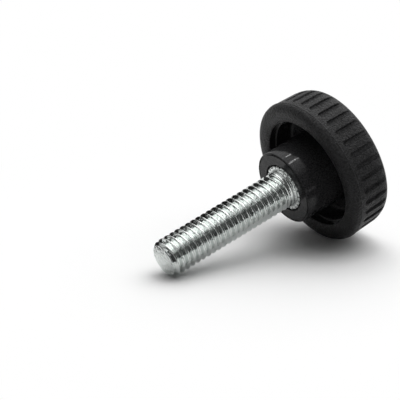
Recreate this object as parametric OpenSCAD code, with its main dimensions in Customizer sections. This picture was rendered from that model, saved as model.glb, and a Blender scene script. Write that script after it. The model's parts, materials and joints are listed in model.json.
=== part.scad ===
// Knurled head screw: a moulded hand knob on a steel stud.
// It lies as it comes to rest, on the rim of its head and the tip of its thread.
// Heights along the screw are measured from the end of the hub, towards the face of the head.

/* [Thread] */
// Outside diameter of the thread
thread_d = 6; // [4:0.5:6.5]
// Distance from one crest of the thread to the next
thread_pitch = 1; // [0.5:0.1:1.5]
// Depth of the thread
thread_depth = 0.61; // [0.2:0.01:0.9]
// Width of a crest
crest_w = 0.13; // [0.04:0.01:0.2]
// Width of the flat at the root
root_w = 0.17; // [0.04:0.01:0.25]
// Length of stud in front of the hub
thread_len = 23.4; // [12:0.2:60]
// Bevel at the tip, along and across the thread
tip_bevel = 0.5; // [0.2:0.05:1]
// Least length of plain neck between the thread and the serrated shank
neck_len = 1; // [0.5:0.1:3]
// Radius where the neck meets the shank
neck_fillet = 0.3; // [0.1:0.05:0.4]

/* [Serrated shank] */
// Diameter over the teeth
shank_d = 8; // [7.4:0.1:9]
// Length of shank that the head is moulded round
shank_len = 8; // [5:0.5:9.5]
// Number of teeth
tooth_count = 23; // [16:1:36]
// Depth of the teeth
tooth_depth = 0.35; // [0.2:0.05:0.5]
// Turn of the teeth about the screw, in degrees
tooth_turn = 4.1; // [0:0.1:15]
// Bevel at the inner end of the shank
shank_bevel = 0.4; // [0.2:0.1:0.8]
// Width of the neck that stops the shank pulling out
lock_w = 1.6; // [0.8:0.2:2.5]
// Diameter of that neck
lock_d = 6.4; // [5:0.2:7]
// Distance from the end of the hub to that neck
lock_z = 3.2; // [2:0.2:4]

/* [Hub] */
// Diameter of the hub at its end
hub_d = 11.9; // [10:0.1:13]
// Radius round the end of the hub
hub_edge = 0.35; // [0.1:0.05:0.8]
// Height of the hub above the back of the rim
hub_proud = 4.45; // [1:0.05:7]
// Width of the open ring round the shank
crevice_w = 0.2; // [0.04:0.02:0.3]
// Depth of the open ring round the shank
crevice_depth = 0.5; // [0.1:0.05:0.8]

/* [Head] */
// Largest diameter, at the parting line
head_d = 23.54; // [21:0.1:30]
// Height of the knurled rim, parting line to face corner
rim_h = 3.9; // [2.5:0.1:8]
// Draft of the rim, in degrees
rim_draft = 2.2; // [0:0.2:4]
// Height of the rounded shoulder at the back
shoulder_h = 1.1; // [0.5:0.1:2]
// Width of the rounded shoulder at the back
shoulder_w = 1.35; // [0.5:0.05:2]
// Height of the rounded corner at the face
corner_h = 2.3; // [0.5:0.1:3]
// Width of the rounded corner at the face
corner_w = 1.1; // [0.5:0.1:2.5]
// Height of the fine bead that the mould leaves on the parting line
bead_h = 0.05; // [0.02:0.01:0.15]
// Width of that bead
bead_w = 0.3; // [0.15:0.05:0.6]

/* [Recess round the hub] */
// Diameter of the mouth
mouth_d = 17.9; // [16.6:0.1:18.6]
// Fall of the rounded lip from the back of the rim to the mouth
lip_h = 0.42; // [0.1:0.02:1]
// Depth of the step inside the mouth
step_depth = 1.1; // [0.5:0.1:2]
// Width of the step inside the mouth
step_w = 0.27; // [0.1:0.01:0.5]
// Depth of the recess below the mouth
recess_depth = 4.1; // [2:0.1:4.5]
// Draft of the walls of the recess, in degrees
recess_draft = 1; // [0:0.5:3]
// Radius round the floor of the recess
recess_fillet = 0.6; // [0.2:0.1:1]

/* [Face] */
// Diameter of the sunk disc
disc_d = 14.5; // [8:0.5:18]
// Depth of the sunk disc
disc_depth = 0.25; // [0.1:0.05:0.6]

/* [Knurl] */
// Number of grooves
groove_count = 36; // [24:1:48]
// Width of a groove at its floor
groove_floor_w = 0.75; // [0.4:0.05:1]
// Width of a groove at the rim
groove_top_w = 0.98; // [0.6:0.02:1.2]
// Depth of a groove
groove_depth = 0.3; // [0.1:0.05:0.6]
// Plain band between the parting line and the closed ends of the grooves
groove_start = 0.6; // [0.6:0.1:2]
// Turn of the grooves about the screw, in degrees
groove_turn = 3.2; // [0:0.2:10]

/* [Hidden] */
arc_steps = 8;
round_fn = 144;
over = 1;

thread_r = thread_d / 2;
root_r = thread_r - thread_depth;
shank_r = shank_d / 2;
hub_r = hub_d / 2;
rim_r = head_d / 2;
mouth_r = mouth_d / 2;

// Heights along the screw, from the end of the hub
tip_z = -thread_len;
back_z = hub_proud;
part_z = back_z + shoulder_h;
corner_z = part_z + rim_h;
face_z = corner_z + corner_h;
mouth_z = back_z + lip_h;
step_z = mouth_z + step_depth;
floor_z = mouth_z + recess_depth;
groove_z = part_z + bead_w + groove_start + groove_top_w / 2;

// Radii that follow from the drafts
corner_r = rim_r - rim_h * tan(rim_draft);
crest_r = rim_r - shoulder_w;
wall_r = mouth_r - step_w;
wall_foot_r = wall_r - (floor_z - recess_fillet - step_z) * tan(recess_draft);
hub_foot_r = hub_r + (floor_z - recess_fillet - hub_edge) * tan(recess_draft);

// Points on an elliptical arc from angle a to angle b
function arc(centre, size, a, b) =
    [for (i = [0:arc_steps]) let (t = a + (b - a) * i / arc_steps)
        [centre[0] + size[0] * cos(t), centre[1] + size[1] * sin(t)]];

// Half sections, as points of radius and height
hub_section = arc([hub_r - hub_edge, hub_edge], [hub_edge, hub_edge], -90, 0);
recess_section = concat(
    arc([hub_foot_r + recess_fillet, floor_z - recess_fillet], [recess_fillet, recess_fillet], 180, 90),
    arc([wall_foot_r - recess_fillet, floor_z - recess_fillet], [recess_fillet, recess_fillet], 90, 0),
    [[wall_r, step_z], [mouth_r, step_z]]);
back_section = concat(
    arc([crest_r, mouth_z], [crest_r - mouth_r, lip_h], 180, 270),
    arc([crest_r, part_z], [shoulder_w, shoulder_h], -90, 0));
rim_section = concat(
    [[rim_r + bead_h, part_z + bead_w / 3],
     [rim_r + bead_h, part_z + bead_w * 2 / 3],
     [rim_r - bead_w * tan(rim_draft), part_z + bead_w]],
    arc([corner_r - corner_w, corner_z], [corner_w, corner_h], 0, 90));
face_section = [[disc_d / 2, face_z], [disc_d / 2, face_z - disc_depth]];
tip_section = [[thread_r - tip_bevel, tip_z], [thread_r, tip_z + tip_bevel]];

// The screw rests on the edge of its tip and on the rim
outer_section = concat(back_section, rim_section);
lie = max([for (p = outer_section) atan2(p[0] - thread_r, p[1] - tip_z - tip_bevel)]);
whole_section = concat(tip_section, outer_section);
low = min([for (p = whole_section) p[1] * sin(lie) - p[0] * cos(lie)]);
left = min([for (p = whole_section) p[1] * cos(lie) - p[0] * sin(lie)]);
right = max([for (p = whole_section) p[1] * cos(lie) + p[0] * sin(lie)]);

// Turns the upright screw, face up, onto its side with its thread towards -X
module lying()
    translate([-(left + right) / 2, 0, -low])
        rotate([0, 90 - lie, 0])
            children();

module turned(points) rotate_extrude($fn = round_fn) polygon(points);

// One tooth of the serrated shank: a wide flat tip and a narrow root
function tooth(i) =
    [for (p = [[-0.3, 0], [0.3, 0], [0.42, tooth_depth], [0.58, tooth_depth]])
        let (a = tooth_turn + (i + p[0]) * 360 / tooth_count, r = shank_r - p[1])
        [r * cos(a), r * sin(a)]];

module teeth() polygon([for (i = [0:tooth_count - 1]) each tooth(i)]);

// The part of the stud that the head is moulded round
module shank() {
    intersection() {
        union() {
            linear_extrude(lock_z) teeth();
            translate([0, 0, lock_z + lock_w])
                linear_extrude(shank_len - lock_z - lock_w) teeth();
        }
        turned([[0, 0], [shank_r + over, 0], [shank_r + over, shank_len - shank_bevel - over],
                [shank_r - shank_bevel, shank_len], [0, shank_len]]);
    }
    translate([0, 0, lock_z / 2]) cylinder(h = lock_w + lock_z / 2 + over / 2, d = lock_d, $fn = round_fn);
}

// Grooves of the thread as rings, from the crest behind the tip to the last whole one before the neck
thread_section = let (flank_w = (thread_pitch - crest_w - root_w) / 2)
    [for (z = [tip_z + tip_bevel + crest_w : thread_pitch : -neck_len - thread_pitch])
        each [[thread_r, z], [root_r, z + flank_w], [root_r, z + flank_w + root_w],
              [thread_r, z + thread_pitch - crest_w]]];

// The part of the stud that stands out of the hub
module thread()
    turned(concat(
        [[0, lock_z / 2], [0, tip_z]], tip_section, thread_section,
        arc([thread_r + neck_fillet, -neck_fillet], [neck_fillet, neck_fillet], 180, 90),
        [[thread_r, lock_z / 2]]));

module stud() color([0.78, 0.80, 0.79]) lying() {
    shank();
    thread();
}

// A groove with a round closed end, its floor along the drafted rim
module groove()
    translate([rim_r - (groove_z - part_z) * tan(rim_draft) - groove_depth, 0, groove_z])
        rotate([0, -rim_draft, 0]) {
            deep = groove_depth * 2;
            top_w = groove_floor_w + (groove_top_w - groove_floor_w) * deep / groove_depth;
            linear_extrude(face_z - groove_z + over)
                polygon([[0, -groove_floor_w / 2], [deep, -top_w / 2],
                         [deep, top_w / 2], [0, groove_floor_w / 2]]);
            rotate([0, 90, 0]) cylinder(h = deep, d1 = groove_floor_w, d2 = top_w, $fn = 48);
        }

module head() color([0.10, 0.10, 0.11]) lying()
    difference() {
        turned(concat([[0, 0]], hub_section, recess_section, back_section, rim_section,
                      face_section, [[0, face_z - disc_depth]]));
        for (i = [0:groove_count - 1])
            rotate([0, 0, groove_turn + i * 360 / groove_count]) groove();
        shank();
        translate([0, 0, -over])
            cylinder(h = crevice_depth + over, r = shank_r + crevice_w, $fn = round_fn);
    }

head();
stud();
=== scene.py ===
import json
from math import atan2, ceil, cos, degrees, pi, radians, sin, tan

import bmesh
import bpy
from mathutils import Matrix, Vector


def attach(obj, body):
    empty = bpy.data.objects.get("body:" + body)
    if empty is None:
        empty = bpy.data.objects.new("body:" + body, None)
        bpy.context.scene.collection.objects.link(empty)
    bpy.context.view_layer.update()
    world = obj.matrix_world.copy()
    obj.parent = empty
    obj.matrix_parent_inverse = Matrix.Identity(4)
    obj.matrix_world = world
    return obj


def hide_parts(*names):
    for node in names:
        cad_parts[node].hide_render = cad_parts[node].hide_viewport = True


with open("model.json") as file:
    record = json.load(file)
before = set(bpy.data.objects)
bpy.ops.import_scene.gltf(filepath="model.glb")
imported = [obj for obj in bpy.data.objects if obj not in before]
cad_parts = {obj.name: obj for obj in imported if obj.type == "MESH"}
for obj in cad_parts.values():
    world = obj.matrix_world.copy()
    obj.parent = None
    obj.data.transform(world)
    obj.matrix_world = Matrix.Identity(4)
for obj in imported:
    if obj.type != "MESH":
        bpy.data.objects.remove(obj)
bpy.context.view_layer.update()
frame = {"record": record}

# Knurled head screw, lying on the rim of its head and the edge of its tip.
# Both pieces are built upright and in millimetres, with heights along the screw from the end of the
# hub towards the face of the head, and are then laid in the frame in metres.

MOUNTS = {mount["name"]: mount for mount in frame["record"]["mounts"]}

# A millimetre in metres
MM = 0.001

# Points closer than this, in millimetres, become one
MERGE = 0.001

# Distance from a rounding to the extra points that keep its shading crisp
SUPPORT = 0.05

# Thread
THREAD_R = MOUNTS["thread"]["dims"]["r_mm"]
THREAD_LEN = 23.4
PITCH = 1.0
ROOT_R = 2.39
CREST_PHASE = -0.535
TIP_BEVEL = 0.5
RUN_OUT = 0.6
THREAD_ROWS = 32

# Half the flat of the crest and the start of the root, in pitches from the middle of the crest
CREST_HALF, ROOT_START = 1 / 32, 7 / 16

# Plain neck, with small steps up to the shank
NECK_R = 2.95
NECK_LEN = 1.0
NECK_FLARE_H, NECK_FLARE_W = 0.5, 0.2
NECK_STEPS = 2
NECK_ROUND = 0.04

# Serrated shank. The flats of a tooth are shares of the tooth's pitch, from its middle.
TEETH = 23
TOOTH_TURN = 4.1
TOOTH_TIP, TOOTH_ROOT = 0.30, 0.42
TOOTH_DEPTH = 0.35
TOOTH_EDGE, TOOTH_FOOT = 0.08, 0.04
TOOTH_COLUMNS = 4
SHANK_R = 3.73
SHANK_LEN = 8.0
SHANK_BEVEL = 0.4
SHANK_EDGE = 0.06

# Narrower neck that locks the shank in the head
LOCK_R = 3.2
LOCK_Z, LOCK_W = 3.2, 1.6

# Hub, with a fine groove near its edge and the open ring round the shank
HUB_R = 5.95
HUB_EDGE = 0.12
HUB_PROUD = 4.45
HUB_LINE_R, HUB_LINE_W, HUB_LINE_DEPTH = 5.6, 0.2, 0.15
HUB_LINE_ROUND = 0.015
BORE_R = SHANK_R - TOOTH_DEPTH
CREVICE_R = 4.0
CREVICE_DEPTH = 0.5
CREVICE_ROUND = 0.03

# Head
RIM_R = 11.77
RIM_H = 3.9
RIM_DRAFT = 2.2
SHOULDER_H, SHOULDER_W = 1.1, 1.35
CORNER_H, CORNER_W = 2.3, 1.1
BEAD_H, BEAD_W = 0.05, 0.3
BEAD_ROUND = 0.02

# Recess round the hub
MOUTH_R = 8.95
LIP_H = 0.42
STEP_DEPTH, STEP_W = 1.1, 0.27
STEP_EDGE, STEP_FOOT = 0.08, 0.05
RECESS_DEPTH = 4.1
RECESS_DRAFT = 1.0
RECESS_FILLET = 0.6

# Face, plain from a radius inwards, with its sunk disc
PLAIN_FACE_R = 0.88 * RIM_R
DISC_R = 7.25
DISC_DEPTH = 0.25
DISC_ROUND = 0.08

# Knurl
GROOVES = 36
GROOVE_TURN = 3.2
GROOVE_FLOOR_W, GROOVE_TOP_W = 0.75, 0.98
GROOVE_DEPTH = 0.3
GROOVE_START = 0.6
GROOVE_FOOT, GROOVE_EDGE = 0.08, 0.06

# Least depth at which the roundings of a groove are worked out, and faces round its closed end
LEAST_SPAN = 0.1
END_STEPS = 12

# Faces across a sector of the head, and the radii within which it has two and then one
HEAD_COLUMNS = 6
MIDDLE_R, CENTRE_R = 3, 1

# Heights that follow
PART_Z = HUB_PROUD + SHOULDER_H
BEAD_Z = PART_Z + BEAD_W
LAND_Z = BEAD_Z + SUPPORT
GROOVE_Z = BEAD_Z + GROOVE_START + GROOVE_TOP_W / 2
CORNER_Z = PART_Z + RIM_H
FACE_Z = CORNER_Z + CORNER_H
MOUTH_Z = HUB_PROUD + LIP_H
STEP_Z = MOUTH_Z + STEP_DEPTH
FLOOR_Z = MOUTH_Z + RECESS_DEPTH

# Numbers of the finishes on the head and on the shank
GRAINED, SMOOTH, LEATHERY = 0, 1, 2
PLATED, CUT = 0, 1

# Plating where it is clear and where it is cloudy, and the depth of its fine working marks
ZINC_CLEAR, ZINC_CLOUDY = (0.60, 0.63, 0.615, 1), (0.72, 0.75, 0.735, 1)
ZINC_MARKS = 0.006

# Plastic: its dark and pale flecks as shares of its shade, its cool tint, the span of the grain in
# which the flecks fade into each other, and its least and most roughness as shares of the plain one
FLECKS = (0.35, 1.65)
COOL = (1, 1, 1.04)
FLECK_SPAN = (0.35, 0.65)
UNEVEN = (0.9, 1.15)

# The span that most of a noise falls in
NOISE_SPAN = (0.3, 0.7)

# Plain shades of the studio
BLACK, GREY, WHITE = (0.04, 0.04, 0.04, 1), (0.6, 0.6, 0.6, 1), (1, 1, 1, 1)

# Camera: the point it faces, the compass turn it looks along, its rise in degrees, its distance in
# metres and its lens
AIM = Vector((-0.00644, 0.00692, 0.00790))
CAMERA_TURN, CAMERA_RISE = 35.39, 19.49
CAMERA_AWAY = 0.3234
CAMERA_LENS = 189.3

# Floor: half its side in metres, and the distances in millimetres between which it fades to white
FLOOR_HALF = 1.5
FLOOR_FADE = (25, 60)

# The large light and the pale walls: compass turn and rise, core and soft edge in degrees, and level
ROOM_LEVEL = 0.09
OVERHEAD = (68, 66, 20, 40, 2.3)
WALLS = [(-48, 45, 28, 12, 0.55), (58, 14, 32, 10, 0.5)]

# Small lamps: compass turn and rise in degrees, side in metres, and glow, all from the same distance
LAMPS = {"lamp_behind": (27, 67, 0.018, 40.0), "lamp_over": (115, 80, 0.024, 36.0)}
LAMP_AWAY = 0.5

# Round dark block beside the thread: the middle of its near end, its radius and its depth, in
# millimetres
BLOCK = Vector((-22.2, 18.4, 12.6))
BLOCK_R, BLOCK_DEPTH = 12.6, 12

# Dark cards: one standing in front of the screw, and one lying by its tip that is a painted shadow
# on the floor for the metal to mirror. Middle in millimetres, compass turn in degrees, and size in
# millimetres
CARD_AND_PAINTED_SHADOW = [((6.5, -29.5, 4), 157, (80, 1, 8)), ((-32.3, 2, 0.1), 0, (23.4, 26, 0.1))]


# ---------------------------------------------------------------- sections

def arc(centre, size, start, end, steps):
    """Points on an elliptical arc, as radius and height, between two angles in degrees."""
    turns = [radians(start + (end - start) * i / steps) for i in range(steps + 1)]
    return [(centre[0] + size[0] * cos(t), centre[1] + size[1] * sin(t)) for t in turns]


def rounded(corners, steps):
    """A section through corners of radius, height and rounding, with each rounding as a small arc."""
    section = []
    for number, (radius, height, rounding) in enumerate(corners):
        corner = Vector((radius, height))
        if not rounding:
            section.append(tuple(corner))
            continue
        back = (Vector(corners[number - 1][:2]) - corner).normalized()
        ahead = (Vector(corners[number + 1][:2]) - corner).normalized()
        half = back.angle(ahead) / 2
        centre = corner + (back + ahead).normalized() * rounding / sin(half)
        first = corner + back * rounding / tan(half) - centre
        last = corner + ahead * rounding / tan(half) - centre
        spokes = [first.slerp(last, i / steps).normalized() for i in range(steps + 1)]
        section += [tuple(centre + spoke * rounding) for spoke in spokes]
    return section


def supported(section, longest=0.5):
    """The section with points near both ends of its long straight runs, so that roundings shade crisply."""
    made = [section[0]]
    for a, b in zip(section, section[1:]):
        a, b = Vector(a), Vector(b)
        if (b - a).length > longest:
            along = (b - a).normalized() * SUPPORT
            made += [tuple(a + along), tuple(b - along)]
        made.append(tuple(b))
    return made


def rim_radius(height):
    """The drafted rim's radius at a height."""
    return RIM_R - (height - PART_Z) * tan(radians(RIM_DRAFT))


def back_section():
    """From the closed end of the bore round the hub and the recess, and over the shoulder to the rim."""
    drafted = tan(radians(RECESS_DRAFT))
    wall_r = MOUTH_R - STEP_W
    crest_r = RIM_R - SHOULDER_W
    line_end_r = HUB_LINE_R + HUB_LINE_W
    inner = rounded([
        (0, SHANK_LEN, 0), (CENTRE_R, SHANK_LEN, 0), (BORE_R, SHANK_LEN, 0), (BORE_R, CREVICE_DEPTH, 0),
        (CREVICE_R, CREVICE_DEPTH, CREVICE_ROUND), (CREVICE_R, 0, CREVICE_ROUND),
        (HUB_LINE_R, 0, HUB_LINE_ROUND), (HUB_LINE_R, HUB_LINE_DEPTH, HUB_LINE_ROUND),
        (line_end_r, HUB_LINE_DEPTH, HUB_LINE_ROUND), (line_end_r, 0, HUB_LINE_ROUND),
        (HUB_R, 0, HUB_EDGE), (HUB_R + FLOOR_Z * drafted, FLOOR_Z, RECESS_FILLET),
        (wall_r - (FLOOR_Z - STEP_Z) * drafted, FLOOR_Z, RECESS_FILLET),
        (wall_r, STEP_Z, STEP_EDGE), (MOUTH_R, STEP_Z, STEP_FOOT), (MOUTH_R, MOUTH_Z, 0)], steps=6)
    lip = arc((crest_r, MOUTH_Z), (crest_r - MOUTH_R, LIP_H), 180, 270, steps=12)
    shoulder = arc((crest_r, PART_Z), (SHOULDER_W, SHOULDER_H), -90, 0, steps=14)
    bead_r = RIM_R + BEAD_H
    bead = rounded([
        shoulder[-1] + (0,), (bead_r, PART_Z + BEAD_W / 3, BEAD_ROUND),
        (bead_r, PART_Z + BEAD_W * 2 / 3, BEAD_ROUND), (rim_radius(BEAD_Z), BEAD_Z, BEAD_ROUND),
        (rim_radius(LAND_Z), LAND_Z, 0)], steps=2)
    return supported(inner + lip[1:] + shoulder[1:] + bead[1:])


def face_section():
    """From the round corner over the face to the middle of the sunk disc."""
    low = FACE_Z - DISC_DEPTH
    return supported(rounded([
        (PLAIN_FACE_R, FACE_Z, 0), (DISC_R, FACE_Z, DISC_ROUND), (DISC_R, low, DISC_ROUND),
        (MIDDLE_R, low, 0), (CENTRE_R, low, 0), (0, low, 0)], steps=4))


def flare_section():
    """From the end of the shank down small rounded steps to the neck."""
    step_h, step_w = NECK_FLARE_H / NECK_STEPS, NECK_FLARE_W / NECK_STEPS
    stairs = [(NECK_R + NECK_FLARE_W, 0, 0)]
    for number in range(NECK_STEPS):
        radius, height = NECK_R + NECK_FLARE_W - step_w * number, -step_h * (number + 1)
        stairs += [(radius, height, NECK_ROUND), (radius - step_w, height, NECK_ROUND)]
    stairs[-1] = (NECK_R, -NECK_FLARE_H, 0)
    return supported(rounded(stairs, steps=3))


def groove_section(depth):
    """Half the cross-section of a groove, as distance from its middle and height above the rim."""
    span = max(depth, LEAST_SPAN)
    foot = GROOVE_FLOOR_W / 2
    top = foot + (GROOVE_TOP_W / 2 - foot) * span / GROOVE_DEPTH
    land = RIM_R * pi / GROOVES
    half = rounded([(0, -span, 0), (foot, -span, GROOVE_FOOT), (top, 0, GROOVE_EDGE), (land, 0, 0)], steps=3)
    half.insert(1, (half[1][0] - SUPPORT, -span))
    half.insert(-1, (half[-2][0] + SUPPORT, 0))
    return [(across, height * depth / span) for across, height in half]


def tooth_section():
    """Half a tooth and half the gap beside it, as distance from the tooth's middle and radius."""
    pitch = 2 * pi * SHANK_R / TEETH
    root_r = SHANK_R - TOOTH_DEPTH
    return rounded([
        (0, SHANK_R, 0), (TOOTH_TIP * pitch, SHANK_R, TOOTH_EDGE),
        (TOOTH_ROOT * pitch, root_r, TOOTH_FOOT), (pitch / 2, root_r, 0)], steps=3)


# ---------------------------------------------------------------- sectors

def at(radius, angle, height):
    """The point at a radius, an angle in degrees and a height."""
    return Vector((radius * cos(radians(angle)), radius * sin(radians(angle)), height))


def bearing(point):
    """The angle of a point about the screw."""
    return atan2(point.y, point.x)


def mirrored(half):
    """A whole row of points from its right half, whose first point lies on the middle."""
    return [Vector((p.x, -p.y, p.z)) for p in reversed(half[1:])] + half


class Sector:
    """One sector of a turned piece, as faces that carry the number of their finish."""

    def __init__(self, count):
        self.half = 180 / count
        self.faces, self.finishes = [], []

    def round_row(self, radius, height, steps):
        """A row of points across the sector at one radius, or the one point on the axis."""
        if radius == 0:
            return [at(0, 0, height)]
        return [at(radius, self.half * (2 * i / steps - 1), height) for i in range(steps + 1)]

    def face(self, points, finish):
        """Adds a face with its finish."""
        self.faces.append(points)
        self.finishes.append(finish)

    def strip(self, lower, upper, finish):
        """Fills the band between two rows of points, which may differ in number."""
        if len(lower) == len(upper):
            for i in range(len(lower) - 1):
                self.face([lower[i], lower[i + 1], upper[i + 1], upper[i]], finish)
            return
        i = j = 0
        while i < len(lower) - 1 or j < len(upper) - 1:
            if j == len(upper) - 1 or (i < len(lower) - 1 and bearing(lower[i + 1]) < bearing(upper[j + 1])):
                self.face([lower[i], lower[i + 1], upper[j]], finish)
                i += 1
            else:
                self.face([lower[i], upper[j + 1], upper[j]], finish)
                j += 1

    def mesh(self, name):
        """The sector as a mesh, with the number of its finish on each face."""
        points = [point for face in self.faces for point in face]
        numbers = iter(range(len(points)))
        made = bpy.data.meshes.new(name)
        made.from_pydata(points, [], [[next(numbers) for _ in face] for face in self.faces])
        made.attributes.new("finish", "INT", "FACE").data.foreach_set("value", self.finishes)
        return made


def head_finish(radius, height):
    """Which of the head's finishes the mould gives a plain surface."""
    if height > CORNER_Z:
        return LEATHERY if radius < DISC_R else GRAINED
    return SMOOTH if CREVICE_R < radius < MOUTH_R else GRAINED


def turned_band(sector, section):
    """Turns a section of the head into plain rows, with fewer columns towards the middle."""
    rows = [sector.round_row(r, z, HEAD_COLUMNS if r > MIDDLE_R else 2 if r > CENTRE_R else 1)
            for r, z in section]
    for (r0, z0), (r1, z1), lower, upper in zip(section, section[1:], rows, rows[1:]):
        sector.strip(lower, upper, head_finish((r0 + r1) / 2, (z0 + z1) / 2))


def groove_row(sector, radius, height):
    """A row of points across a groove whose depth follows from the radius of the rim."""
    floor = rim_radius(height) - GROOVE_DEPTH
    half = groove_section(min(GROOVE_DEPTH, max(0, radius - floor)))
    right = [at(radius + rise, degrees(across / radius), height) for across, rise in half[:-1]]
    return mirrored(right + [at(radius, sector.half, height)])


def closed_end(sector):
    """The round end of a groove, as rings out to the square patch of plain rim round it."""
    def ring(across, rise):
        turns = [radians(180 + 180 * k / END_STEPS) for k in range(END_STEPS + 1)]
        heights = [GROOVE_Z + across * sin(t) for t in turns]
        return [at(rim_radius(z) + rise, degrees(across * cos(t) / rim_radius(z)), z)
                for t, z in zip(turns, heights)]

    half = groove_section(GROOVE_DEPTH)
    middle = ring(*half[0])[0]
    rings = [ring(*point) for point in half[1:-1]]
    quarter = END_STEPS // 4
    side = [(sector.half, GROOVE_Z - (GROOVE_Z - LAND_Z) * k / quarter) for k in range(quarter)]
    bottom = [(sector.half * (k / quarter - 1), LAND_Z) for k in range(END_STEPS // 2 + 1)]
    patch = [(-a, z) for a, z in side] + bottom + list(reversed(side))
    rings.append([at(rim_radius(z), a, z) for a, z in patch])
    for inner, outer in zip(rings, rings[1:]):
        sector.strip(inner, outer, GRAINED)
    for a, b in zip(rings[0], rings[0][1:]):
        sector.face([middle, a, b], GRAINED)


def head_sector():
    """One groove of the head with all that is under and over it, from bore to disc."""
    sector = Sector(GROOVES)
    turned_band(sector, back_section())
    closed_end(sector)
    corner = (rim_radius(CORNER_Z) - CORNER_W, CORNER_Z)
    profile = [(rim_radius(GROOVE_Z), GROOVE_Z)] + arc(corner, (CORNER_W, CORNER_H), 0, 90, steps=16)
    face = face_section()
    rows = [groove_row(sector, r, z) for r, z in profile] + [sector.round_row(*face[0], HEAD_COLUMNS)]
    for lower, upper in zip(rows, rows[1:]):
        sector.strip(lower, upper, GRAINED)
    turned_band(sector, face)
    return sector.mesh("head_sector")


def tooth_row(sector, height, inset=0, limit=SHANK_R):
    """A row of points over a tooth and half the gap on each side, cut off at a radius and moved in."""
    half = [(across, min(radius, limit) - inset) for across, radius in tooth_section()]
    right = [at(radius, degrees(across / SHANK_R), height) for across, radius in half[:-1]]
    return mirrored(right + [at(half[-1][1], sector.half, height)])


def tooth_sector():
    """One tooth of the shank, from its inner end to the plain neck."""
    sector = Sector(TEETH)

    def plain(radius, height):
        return sector.round_row(radius, height, TOOTH_COLUMNS)

    lock_end = LOCK_Z + LOCK_W
    inner_r = SHANK_R - SHANK_BEVEL
    rows = [
        sector.round_row(0, SHANK_LEN, 1), sector.round_row(CENTRE_R, SHANK_LEN, 1),
        plain(inner_r - SUPPORT, SHANK_LEN), tooth_row(sector, SHANK_LEN, limit=inner_r),
        tooth_row(sector, SHANK_LEN - SHANK_BEVEL), tooth_row(sector, lock_end),
        plain(LOCK_R, lock_end), plain(LOCK_R, LOCK_Z), tooth_row(sector, LOCK_Z),
        tooth_row(sector, SHANK_EDGE), tooth_row(sector, 0, SHANK_EDGE),
        plain(BORE_R - SHANK_EDGE - SUPPORT, 0)]
    rows += [plain(r, z) for r, z in flare_section()]
    for lower, upper in zip(rows, rows[1:]):
        sector.strip(lower, upper, CUT)
    sector.strip(rows[-1], plain(NECK_R, -NECK_LEN), PLATED)
    return sector.mesh("tooth_sector")


# ---------------------------------------------------------------- node trees

class Net:
    """A node tree with short calls for the nodes that are used often."""

    def __init__(self, tree):
        self.tree = tree

    def feed(self, node, feeds):
        """Links a node's inputs to sockets or sets them to values."""
        for name, value in feeds.items():
            if isinstance(value, bpy.types.NodeSocket):
                self.tree.links.new(value, node.inputs[name])
            else:
                node.inputs[name].default_value = value

    def node(self, kind, feeds=None, **settings):
        """Adds a node with its settings and feeds."""
        made = self.tree.nodes.new(kind)
        for name, value in settings.items():
            setattr(made, name, value)
        self.feed(made, feeds or {})
        return made

    def math(self, operation, *values):
        return self.node("ShaderNodeMath", dict(enumerate(values)), operation=operation).outputs[0]

    def ramp(self, value, span, result, smooth=False):
        """Maps a value from one span to another and holds it at both ends."""
        return self.node("ShaderNodeMapRange", {0: value, 1: span[0], 2: span[1], 3: result[0], 4: result[1]},
                         interpolation_type="SMOOTHSTEP" if smooth else "LINEAR").outputs[0]

    def mix(self, share, first, second):
        """Blends two colours, by a share from nought to one."""
        return self.node("ShaderNodeMix", {0: share, 6: first, 7: second}, data_type="RGBA").outputs[2]

    def noise(self, places, scale, detail, roughness=0.5):
        return self.node("ShaderNodeTexNoise", {
            "Vector": places, "Scale": scale, "Detail": detail, "Roughness": roughness}).outputs["Fac"]

    def bump(self, height, depth, under=None):
        """Relief of a depth in millimetres, on top of another relief where one is given."""
        feeds = {"Height": height, "Distance": depth * MM}
        if under:
            feeds["Normal"] = under
        return self.node("ShaderNodeBump", feeds).outputs[0]

    def merged(self, shape, distance):
        return self.node("GeometryNodeMergeByDistance", {"Geometry": shape, "Distance": distance}).outputs[0]

    def realized(self, shape):
        return self.node("GeometryNodeRealizeInstances", {"Geometry": shape}).outputs[0]


def new_tree(name, sizes):
    """An empty Geometry Nodes tree with a geometry input and the named sizes."""
    tree = bpy.data.node_groups.new(name, "GeometryNodeTree")
    tree.interface.new_socket("Geometry", in_out="OUTPUT", socket_type="NodeSocketGeometry")
    tree.interface.new_socket("Geometry", in_out="INPUT", socket_type="NodeSocketGeometry")
    kinds = {int: "NodeSocketInt", float: "NodeSocketFloat"}
    for title, value in sizes.items():
        kind = kinds.get(type(value), "NodeSocketMaterial")
        tree.interface.new_socket(title, in_out="INPUT", socket_type=kind)
    net = Net(tree)
    return net, net.node("NodeGroupInput").outputs


def placed(name, data):
    """A new object in the scene with its data."""
    made = bpy.data.objects.new(name, data)
    bpy.context.scene.collection.objects.link(made)
    return made


def grow(name, mesh, tree, sizes):
    """Runs a tree on a mesh with the given sizes and returns the plain mesh that it makes."""
    seed = placed(name, mesh)
    modifier = seed.modifiers.new(name, "NODES")
    modifier.node_group = tree
    for item in tree.interface.items_tree:
        if item.in_out == "INPUT" and item.name in sizes:
            modifier[item.identifier] = sizes[item.name]
    evaluated = seed.evaluated_get(bpy.context.evaluated_depsgraph_get())
    made = bpy.data.meshes.new_from_object(evaluated)
    bpy.data.objects.remove(seed)
    return made


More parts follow.
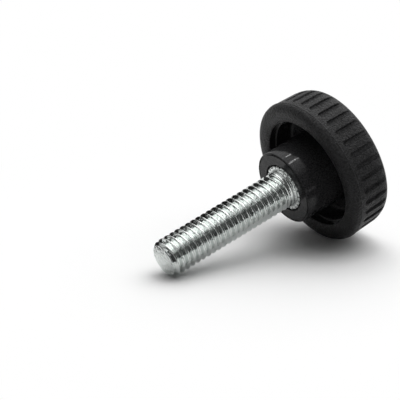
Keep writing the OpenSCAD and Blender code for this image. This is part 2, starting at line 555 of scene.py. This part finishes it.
def ring_tree(sizes, finishes):
    """Turns copies of a sector round the screw, closes their seams and gives each finish its material."""
    net, inputs = new_tree("ring of sectors", sizes)
    step = net.math("DIVIDE", 2 * pi, inputs["Count"])
    turn = net.math("MULTIPLY", net.node("GeometryNodeInputIndex").outputs[0], step)
    turn = net.node("ShaderNodeCombineXYZ", {"Z": turn}).outputs[0]
    points = net.node("GeometryNodePoints", {"Count": inputs["Count"]}).outputs[0]
    copies = net.node("GeometryNodeInstanceOnPoints", {
        "Points": points, "Instance": inputs["Geometry"], "Rotation": turn}).outputs[0]
    shape = net.merged(net.realized(copies), inputs["Merge Distance"])
    number = net.node("GeometryNodeInputNamedAttribute", {"Name": "finish"}, data_type="INT").outputs[0]
    for index, title in enumerate(finishes):
        chosen = net.node("FunctionNodeCompare", {2: number, 3: index}, data_type="INT", operation="EQUAL")
        shape = net.node("GeometryNodeSetMaterial", {
            "Geometry": shape, "Selection": chosen.outputs[0], "Material": inputs[title]}).outputs[0]
    net.node("NodeGroupOutput", {"Geometry": shape})
    return net.tree


def ring_of(name, sector, count, finishes):
    """The closed ring of a sector's copies, with finishes named in the order of their numbers."""
    sizes = {"Count": count, "Merge Distance": MERGE, **finishes}
    return grow(name, sector, ring_tree(sizes, finishes), sizes)


def thread_tree(sizes):
    """A rolled thread: a grid whose rows climb one pitch a turn, trimmed to the tip and the neck."""
    net, inputs = new_tree("rolled thread", sizes)
    math = net.math
    rows = math("MULTIPLY", inputs["Rows"], math("DIVIDE", inputs["Pitch"], inputs["Rows per Turn"]))
    grid = net.node("GeometryNodeMeshGrid", {
        "Size X": 1.0, "Size Y": rows, "Vertices X": math("ADD", inputs["Columns"], 1),
        "Vertices Y": math("ADD", inputs["Rows"], 1)}).outputs[0]
    place = net.node("ShaderNodeSeparateXYZ", {0: net.node("GeometryNodeInputPosition").outputs[0]}).outputs

    climb = math("MULTIPLY_ADD", place["X"], inputs["Pitch"], place["Y"])
    height = math("ADD", climb, inputs["Crest Height"])
    height = math("MINIMUM", math("MAXIMUM", height, inputs["Tip Height"]), inputs["Neck Height"])
    turns = math("DIVIDE", math("SUBTRACT", height, inputs["Crest Height"]), inputs["Pitch"])
    from_crest = math("PINGPONG", math("SUBTRACT", turns, place["X"]), 0.5)

    depth = net.ramp(from_crest, (inputs["Crest Half"], inputs["Root Start"]), (0, 1))
    fall = math("SUBTRACT", inputs["Root Radius"], inputs["Outer Radius"])
    radius = math("MULTIPLY_ADD", depth, fall, inputs["Outer Radius"])
    bevel = math("ADD", math("SUBTRACT", height, inputs["Tip Height"]), inputs["Tip Radius"])
    radius = math("MINIMUM", radius, bevel)
    start = math("SUBTRACT", inputs["Neck Height"], inputs["Run-out"])
    faded = net.ramp(height, (start, inputs["Neck Height"]), (0, 1), smooth=True)
    radius = math("MULTIPLY_ADD", faded, math("SUBTRACT", inputs["Neck Radius"], radius), radius)

    angle = math("MULTIPLY", place["X"], 2 * pi)
    place = net.node("ShaderNodeCombineXYZ", {
        "X": math("MULTIPLY", radius, math("COSINE", angle)),
        "Y": math("MULTIPLY", radius, math("SINE", angle)), "Z": height}).outputs[0]
    shape = net.node("GeometryNodeSetPosition", {"Geometry": grid, "Position": place}).outputs[0]
    shape = net.realized(net.merged(shape, inputs["Merge Distance"]))
    shape = net.node("GeometryNodeSetMaterial", {"Geometry": shape, "Material": inputs["Steel"]}).outputs[0]
    net.node("NodeGroupOutput", {"Geometry": shape})
    return net.tree


# ---------------------------------------------------------------- finishes

def new_material(name, **settings):
    """A material with its net and its Principled shader, which gets the given settings."""
    material = bpy.data.materials.new(name)
    material.use_nodes = True
    net = Net(material.node_tree)
    shader = net.tree.nodes["Principled BSDF"]
    net.feed(shader, {title.replace("_", " "): value for title, value in settings.items()})
    return material, net, shader


def places_on(net):
    """Places on the object, in millimetres."""
    places = net.node("ShaderNodeTexCoord").outputs["Object"]
    return net.node("ShaderNodeMapping", {"Vector": places, "Scale": (1 / MM,) * 3}).outputs[0]


def moulded_plastic(name, shade, gloss, roughness, grain, grain_depth, wave_depth=0.0):
    """Black moulded plastic with a spark-eroded grain, as grains to the millimetre and their depth."""
    material, net, shader = new_material(name, IOR=1.5, Specular_IOR_Level=gloss)
    places = places_on(net)
    fine = net.noise(places, scale=grain, detail=3.0, roughness=0.6)
    broad = net.noise(places, scale=0.45, detail=3.0)
    waves = net.bump(net.noise(places, scale=0.5, detail=1.0), wave_depth)
    dark, pale = ([shade * share * part for part in COOL] + [1] for share in FLECKS)
    net.feed(shader, {
        "Base Color": net.mix(net.ramp(fine, FLECK_SPAN, (0, 1)), dark, pale),
        "Roughness": net.ramp(broad, NOISE_SPAN, [roughness * share for share in UNEVEN]),
        "Normal": net.bump(fine, grain_depth, waves)})
    return material


def zinc_plate(name, roughness, dent_depth):
    """Zinc plating over steel, a little cloudy and dented, with its clear and its cloudy roughness."""
    material, net, shader = new_material(name, Metallic=1.0)
    places = places_on(net)
    cloud = net.noise(places, scale=0.9, detail=3.0)
    marks = net.noise(places, scale=9.0, detail=2.0)
    dents = net.bump(net.noise(places, scale=2.0, detail=1.0), dent_depth)
    net.feed(shader, {
        "Base Color": net.mix(cloud, ZINC_CLEAR, ZINC_CLOUDY),
        "Roughness": net.ramp(cloud, NOISE_SPAN, roughness),
        "Normal": net.bump(marks, ZINC_MARKS, dents)})
    return material


# ---------------------------------------------------------------- pieces

def turned_by(angle):
    """A turn about the upright axis, in degrees."""
    return Matrix.Rotation(radians(angle), 4, "Z")


def lying():
    """Places the upright screw, in millimetres, where the frame's mounts say that its axis lies."""
    axis = -Vector(MOUNTS["thread"]["axis"])
    on_axis, on_seat = Vector(MOUNTS["thread"]["pos_m"]), Vector(MOUNTS["hub_seat"]["pos_m"])
    hub_end = on_axis + axis * (on_seat - on_axis).dot(axis)
    across = Vector((0, 1, 0))
    down = across.cross(axis)
    turn = Matrix((down, across, axis)).transposed().to_4x4()
    return Matrix.Translation(hub_end) @ turn @ Matrix.Scale(MM, 4)


def close_tip(shell, finish):
    """Fills the open end of the thread with a flat of even faces in the finish of that number."""
    rim = [edge for edge in shell.edges if edge.is_boundary]
    made = bmesh.ops.holes_fill(shell, edges=rim)["faces"]
    bmesh.ops.inset_individual(shell, faces=made, thickness=SUPPORT)
    for face in bmesh.ops.poke(shell, faces=made)["faces"]:
        face.material_index = finish


def finished(name, meshes, turn, cut_end=None):
    """Joins meshes into one closed piece, shades it smooth and lays it in the frame.

    A cut end is the material of a flat that closes an open end.
    """
    shell = bmesh.new()
    for mesh in meshes:
        shell.from_mesh(mesh)
    bmesh.ops.remove_doubles(shell, verts=shell.verts, dist=MERGE)
    finishes = list(meshes[0].materials)
    if cut_end:
        close_tip(shell, finishes.index(cut_end))
    bmesh.ops.recalc_face_normals(shell, faces=shell.faces)
    bmesh.ops.transform(shell, matrix=lying() @ turned_by(turn), verts=shell.verts)
    mesh = bpy.data.meshes.new(name)
    shell.to_mesh(mesh)
    shell.free()
    for finish in finishes:
        mesh.materials.append(finish)
    mesh.shade_smooth()
    return placed(name, mesh)


def build_head():
    """The head, moulded in one with its hub."""
    finishes = {
        "Grained": moulded_plastic("plastic_grained", shade=0.021, gloss=0.2, roughness=0.42,
                                   grain=3.4, grain_depth=0.3),
        "Smooth": moulded_plastic("plastic_smooth", shade=0.028, gloss=0.13, roughness=0.09,
                                  grain=5.0, grain_depth=0.002, wave_depth=0.06),
        "Leathery": moulded_plastic("plastic_leathery", shade=0.021, gloss=0.22, roughness=0.38,
                                    grain=2.2, grain_depth=0.12)}
    ring = ring_of("head ring", head_sector(), GROOVES, finishes)
    head = finished("moulded_head", [ring], GROOVE_TURN)
    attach(head, "root")
    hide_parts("head")


def build_stud():
    """The steel stud: its serrated shank, neck and thread."""
    steel = zinc_plate("zinc_plate", roughness=(0.09, 0.17), dent_depth=0.05)
    cut_steel = zinc_plate("zinc_plate_cut", roughness=(0.2, 0.3), dent_depth=0.12)
    shank = ring_of("shank ring", tooth_sector(), TEETH, {"Steel": steel, "Cut Steel": cut_steel})

    # The grid grows both ways from a crest near the middle of the thread. The stud is turned later
    # with its teeth, which the height of that crest allows for.
    tip_z = -THREAD_LEN
    middle = CREST_PHASE + PITCH * (round(tip_z / 2 / PITCH) + TOOTH_TURN / 360)
    reach = max(middle - tip_z, -NECK_LEN - middle) + PITCH
    sizes = {
        "Columns": TEETH * TOOTH_COLUMNS, "Rows": 2 * ceil(reach / PITCH * THREAD_ROWS),
        "Rows per Turn": THREAD_ROWS, "Pitch": PITCH, "Crest Half": CREST_HALF, "Root Start": ROOT_START,
        "Crest Height": middle, "Tip Height": tip_z, "Neck Height": -NECK_LEN,
        "Outer Radius": THREAD_R, "Root Radius": ROOT_R, "Neck Radius": NECK_R,
        "Tip Radius": THREAD_R - TIP_BEVEL, "Run-out": RUN_OUT, "Merge Distance": MERGE, "Steel": steel}
    thread = grow("thread", bpy.data.meshes.new("thread"), thread_tree(sizes), sizes)
    stud = finished("threaded_stud", [shank, thread], TOOTH_TURN, cut_steel)
    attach(stud, "root")
    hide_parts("stud")


# ---------------------------------------------------------------- studio

def heading(turn, rise):
    """The direction of a compass turn and a rise above the floor, in degrees."""
    turn, rise = radians(turn), radians(rise)
    return Vector((sin(turn) * cos(rise), cos(turn) * cos(rise), sin(rise)))


def seen(net):
    """One for a ray from the camera, or one that metal or glass sends on, and nought for the rest."""
    path = net.node("ShaderNodeLightPath").outputs
    direct = net.math("MAXIMUM", path["Is Camera Ray"], path["Is Glossy Ray"])
    return net.math("MAXIMUM", direct, path["Is Transmission Ray"])


def build_camera():
    """A long lens that faces the screw."""
    lens = bpy.data.cameras.new("camera")
    lens.lens = CAMERA_LENS
    camera = placed("camera", lens)
    camera.location = AIM - heading(CAMERA_TURN, -CAMERA_RISE) * CAMERA_AWAY
    camera.rotation_euler = (pi / 2 - radians(CAMERA_RISE), 0, -radians(CAMERA_TURN))
    bpy.context.scene.camera = camera


def build_world():
    """A large soft light over a dim room, with pale walls behind that only the camera and the gloss see."""
    world = bpy.data.worlds.new("studio")
    world.use_nodes = True
    net = Net(world.node_tree)
    way = net.node("ShaderNodeTexCoord").outputs["Generated"]

    def glow(turn, rise, core, edge, level):
        facing = net.node("ShaderNodeVectorMath", {0: way, 1: heading(turn, rise)}, operation="DOT_PRODUCT")
        away = net.math("ARCCOSINE", facing.outputs["Value"])
        return net.ramp(away, (radians(core), radians(core + edge)), (level, 0), smooth=True)

    level = net.math("ADD", glow(*OVERHEAD), ROOM_LEVEL)
    for wall in WALLS:
        level = net.math("MULTIPLY_ADD", glow(*wall), seen(net), level)
    direct = net.node("ShaderNodeLightPath").outputs["Is Camera Ray"]
    net.feed(net.tree.nodes["Background"], {"Color": WHITE, "Strength": net.math("MAXIMUM", level, direct)})
    bpy.context.scene.world = world


def build_floor():
    """A white floor that throws back as little light as a grey one and fades to plain white far out."""
    mesh = bpy.data.meshes.new("floor")
    corners = [(-1, -1), (1, -1), (1, 1), (-1, 1)]
    mesh.from_pydata([(x * FLOOR_HALF, y * FLOOR_HALF, 0) for x, y in corners], [], [(0, 1, 2, 3)])
    floor = placed("floor", mesh)
    material, net, shader = new_material("white_floor", Roughness=0.9, Specular_IOR_Level=0.0)
    net.feed(shader, {"Base Color": net.mix(seen(net), GREY, WHITE)})
    away = net.node("ShaderNodeVectorMath", {0: places_on(net)}, operation="LENGTH").outputs["Value"]
    plain = net.math("MULTIPLY", net.ramp(away, FLOOR_FADE, (0, 1), smooth=True), seen(net))
    white = net.node("ShaderNodeEmission", {"Color": WHITE}).outputs[0]
    mixed = net.node("ShaderNodeMixShader", {0: plain, 1: shader.outputs[0], 2: white}).outputs[0]
    net.feed(net.tree.nodes["Material Output"], {"Surface": mixed})
    mesh.materials.append(material)


def build_mirrored_props():
    """A dark block and a standing card about the screw, and a card lying by the tip as a painted shadow on
    the floor, all out of the picture, for gloss and metal to mirror.
    """
    shell = bmesh.new()
    scale = Matrix.Scale(MM, 4)
    laid = turned_by(-CAMERA_TURN) @ Matrix.Rotation(pi / 2, 4, "X")
    middle = BLOCK + heading(CAMERA_TURN, 0) * BLOCK_DEPTH / 2
    bmesh.ops.create_cone(shell, cap_ends=True, segments=48, radius1=BLOCK_R, radius2=BLOCK_R,
                          depth=BLOCK_DEPTH, matrix=scale @ Matrix.Translation(middle) @ laid)
    # The second card lies flat on the floor by the tip: a painted shadow that only gloss and metal see
    for place, turn, size in CARD_AND_PAINTED_SHADOW:
        sized = turned_by(-turn) @ Matrix.Diagonal((*size, 1))
        bmesh.ops.create_cube(shell, size=1, matrix=scale @ Matrix.Translation(place) @ sized)
    mesh = bpy.data.meshes.new("flags_and_painted_shadow")
    shell.to_mesh(mesh)
    shell.free()
    # Black for the block and the standing card, and a painted shadow on the lying card
    material = new_material("black_block_and_painted_shadow", Base_Color=BLACK, Specular_IOR_Level=0.0)[0]
    mesh.materials.append(material)
    flags_and_painted_shadow = placed("flags_and_painted_shadow", mesh)
    flags_and_painted_shadow.visible_camera = flags_and_painted_shadow.visible_diffuse = flags_and_painted_shadow.visible_shadow = False


def build_lamps():
    """Square lamps that face the screw. A glow of one looks white in a mirror."""
    for name, (turn, rise, side, glow) in LAMPS.items():
        lamp = bpy.data.lights.new(name, "AREA")
        lamp.size = side
        lamp.energy = glow * pi * side ** 2
        made = placed(name, lamp)
        made.location = AIM + heading(turn, rise) * LAMP_AWAY
        made.rotation_euler = heading(turn, rise).to_track_quat("Z", "Y").to_euler()


build_camera()
build_world()
build_floor()
build_mirrored_props()
build_lamps()
build_head()
build_stud()
bpy.context.scene.view_settings.view_transform = "Standard"
